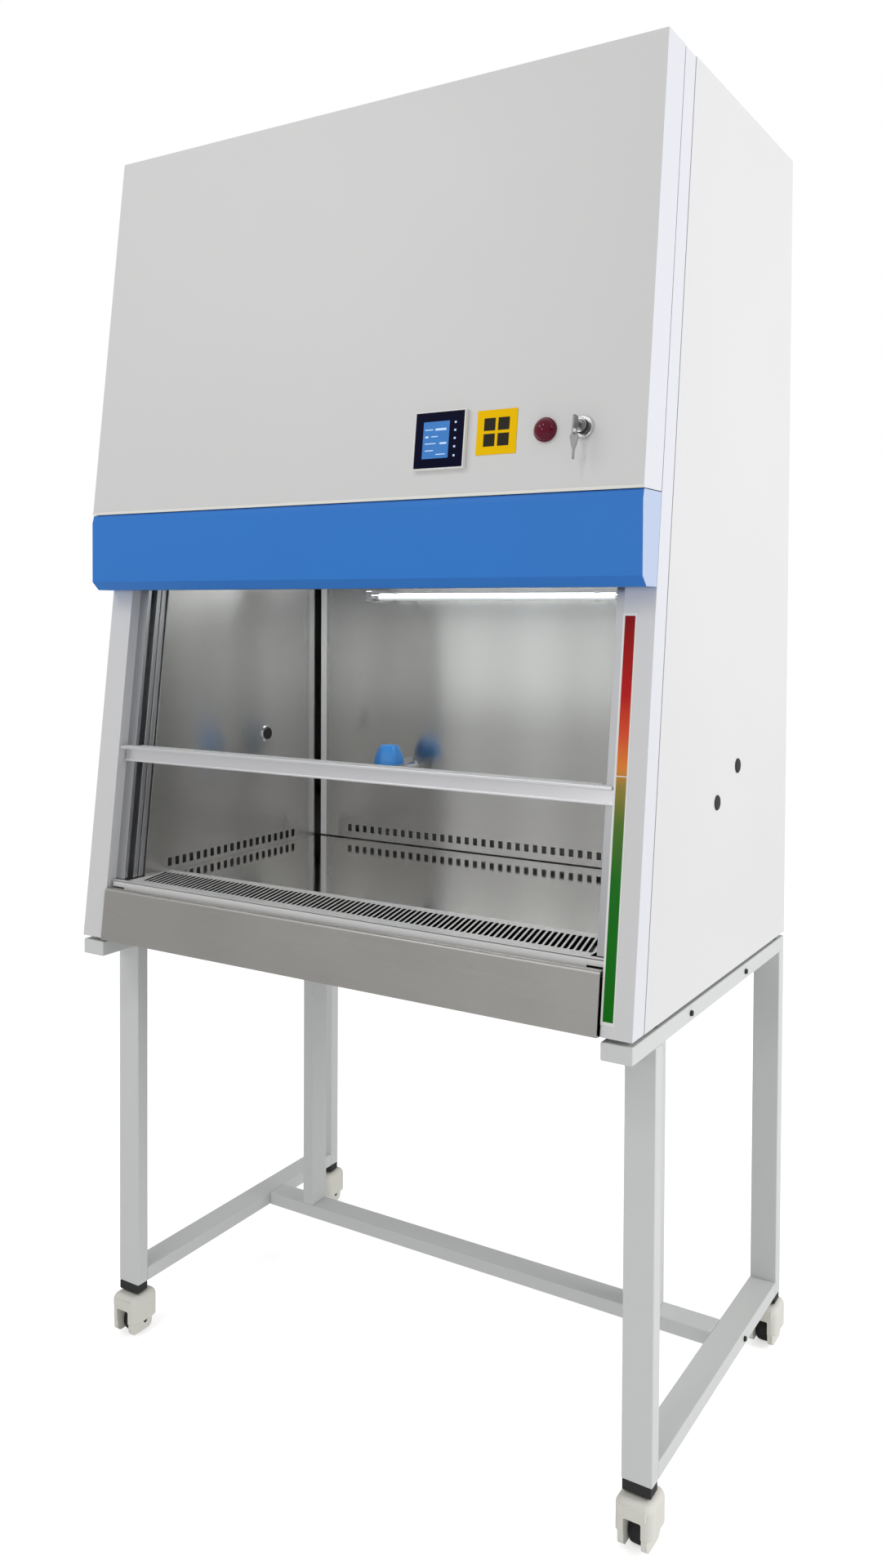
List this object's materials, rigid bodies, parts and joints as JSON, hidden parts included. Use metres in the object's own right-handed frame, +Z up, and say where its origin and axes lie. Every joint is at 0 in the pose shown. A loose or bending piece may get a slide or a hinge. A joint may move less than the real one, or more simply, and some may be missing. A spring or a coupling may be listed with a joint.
{
  "type": "biosafety cabinet",
  "caption": "Free-standing biosafety cabinet with a leaning sliding sash, slotted stainless chamber, hinged control hood and a tube stand on swivel casters.",
  "frame": {"origin": "middle of the bounding box at floor level", "axes": "+Z up, +X to the right of a user facing the cabinet, -Y towards the user"},
  "size_m": [1.111, 0.765, 2.25],
  "materials": {
    "white_paint": "powder coated, satin",
    "grey_paint": "powder coated, satin",
    "blue_paint": "powder coated, satin",
    "dark_metal": "blackened",
    "black_plastic": "matt",
    "cream_plastic": "moulded",
    "wheel_rubber": "matt",
    "stainless": "brushed",
    "mirror_stainless": "polished",
    "aluminium": "anodised",
    "glass": "clear",
    "belt_rubber": "matt",
    "steel": "bright",
    "screen_blue": "lit display",
    "strip_red": "printed film, colours running from red to green",
    "yellow": "film",
    "red_lamp": "translucent dome",
    "tap_blue": "moulded",
    "lamp_white": "satin",
    "filter_white": "pleated paper"
  },
  "bodies": {
    "cabinet": {"back_baffle": "stainless", "base_pan": "stainless", "blower_housing": "steel", "caster_plates": "black_plastic", "drain_panel": "stainless", "front_post_left": "white_paint", "front_post_right": "white_paint", "hepa_filters": "filter_white", "inner_wall_left": "stainless", "inner_wall_right": "stainless", "intake_grille": "stainless", "lamp_holders": "lamp_white", "lamp_tube": "lamp_white", "leg_front_left": "white_paint", "leg_front_right": "white_paint", "leg_rear_left": "white_paint", "leg_rear_right": "white_paint", "lower_cross_bar": "white_paint", "lower_rail_left": "white_paint", "lower_rail_right": "white_paint", "mains_inlet": "black_plastic", "middle_posts": "white_paint", "rear_panel": "white_paint", "sash_belts": "belt_rubber", "sash_guide_left": "aluminium", "sash_guide_right": "aluminium", "scale_strip": "strip_red", "side_panel_left": "white_paint", "side_panel_right": "white_paint", "stand_bolts": "dark_metal", "tap_body": "steel", "top_panel": "white_paint", "trim_band": "blue_paint", "upper_cross_bar": "white_paint", "upper_rail_left": "white_paint", "upper_rail_right": "white_paint", "wall_plugs": "black_plastic", "work_floor": "mirror_stainless"},
    "sash": {"sash_glass": "glass", "sash_rail": "aluminium", "sash_top_clamp": "aluminium"},
    "hood": {"hood_panel": "grey_paint", "controller": "black_plastic", "screen": "screen_blue", "yellow_plate": "yellow", "alarm_lamp": "red_lamp", "key_switch": "steel"},
    "key": {"key": "steel"},
    "upper_shaft": {"upper_shaft": "steel"},
    "lower_shaft": {"lower_shaft": "steel"},
    "tap_handle": {"tap_handle": "tap_blue"},
    "impeller": {"impeller": "steel"},
    "caster_front_left": {"caster_body_front_left": "cream_plastic"},
    "wheel_front_left": {"caster_wheel_front_left": "wheel_rubber"},
    "caster_front_right": {"caster_body_front_right": "cream_plastic"},
    "wheel_front_right": {"caster_wheel_front_right": "wheel_rubber"},
    "caster_rear_left": {"caster_body_rear_left": "cream_plastic"},
    "wheel_rear_left": {"caster_wheel_rear_left": "wheel_rubber"},
    "caster_rear_right": {"caster_body_rear_right": "cream_plastic"},
    "wheel_rear_right": {"caster_wheel_rear_right": "wheel_rubber"}
  },
  "joints": [
    {"name": "sash_slide", "type": "slide", "parent": "cabinet", "child": "sash", "axis": [0, 0.1186, 0.9929], "range_m": [-0.2195, 0.19]},
    {"name": "upper_shaft_turn", "type": "hinge", "parent": "cabinet", "child": "upper_shaft", "pos_m": [0, -0.15466, 2.12], "axis": [1, 0, 0], "range_deg": [-700, 804]},
    {"name": "lower_shaft_turn", "type": "hinge", "parent": "cabinet", "child": "lower_shaft", "pos_m": [0, -0.21674, 1.6], "axis": [1, 0, 0], "range_deg": [-700, 804]},
    {"name": "hood_hinge", "type": "hinge", "parent": "cabinet", "child": "hood", "pos_m": [0, -0.20313, 2.25], "axis": [-1, 0, 0], "range_deg": [0, 70]},
    {"name": "key_turn", "type": "hinge", "parent": "hood", "child": "key", "pos_m": [0.4505, -0.34013, 1.6688], "axis": [0, -0.9929, 0.1186], "range_deg": [-90, 0]},
    {"name": "tap_turn", "type": "hinge", "parent": "cabinet", "child": "tap_handle", "pos_m": [-0.224, 0.1595, 1.081], "axis": [0, 0, 1], "range_deg": [-90, 0]},
    {"name": "impeller_spin", "type": "hinge", "parent": "cabinet", "child": "impeller", "pos_m": [0, 0.06, 1.9], "axis": [1, 0, 0], "continuous": true},
    {"name": "swivel_front_left", "type": "hinge", "parent": "cabinet", "child": "caster_front_left", "pos_m": [-0.525, -0.2728, 0.08], "axis": [0, 0, 1], "continuous": true},
    {"name": "roll_front_left", "type": "hinge", "parent": "caster_front_left", "child": "wheel_front_left", "pos_m": [-0.525, -0.2648, 0.025], "axis": [1, 0, 0], "continuous": true},
    {"name": "swivel_front_right", "type": "hinge", "parent": "cabinet", "child": "caster_front_right", "pos_m": [0.525, -0.2728, 0.08], "axis": [0, 0, 1], "continuous": true},
    {"name": "roll_front_right", "type": "hinge", "parent": "caster_front_right", "child": "wheel_front_right", "pos_m": [0.525, -0.2648, 0.025], "axis": [1, 0, 0], "continuous": true},
    {"name": "swivel_rear_left", "type": "hinge", "parent": "cabinet", "child": "caster_rear_left", "pos_m": [-0.525, 0.3465, 0.08], "axis": [0, 0, 1], "continuous": true},
    {"name": "roll_rear_left", "type": "hinge", "parent": "caster_rear_left", "child": "wheel_rear_left", "pos_m": [-0.525, 0.3545, 0.025], "axis": [1, 0, 0], "continuous": true},
    {"name": "swivel_rear_right", "type": "hinge", "parent": "cabinet", "child": "caster_rear_right", "pos_m": [0.525, 0.3465, 0.08], "axis": [0, 0, 1], "continuous": true},
    {"name": "roll_rear_right", "type": "hinge", "parent": "caster_rear_right", "child": "wheel_rear_right", "pos_m": [0.525, 0.3545, 0.025], "axis": [1, 0, 0], "continuous": true}
  ],
  "couplings": [
    {"joint": "upper_shaft_turn", "follows": "sash_slide", "rad_per_m": -61.538},
    {"joint": "lower_shaft_turn", "follows": "sash_slide", "rad_per_m": -61.538}
  ]
}
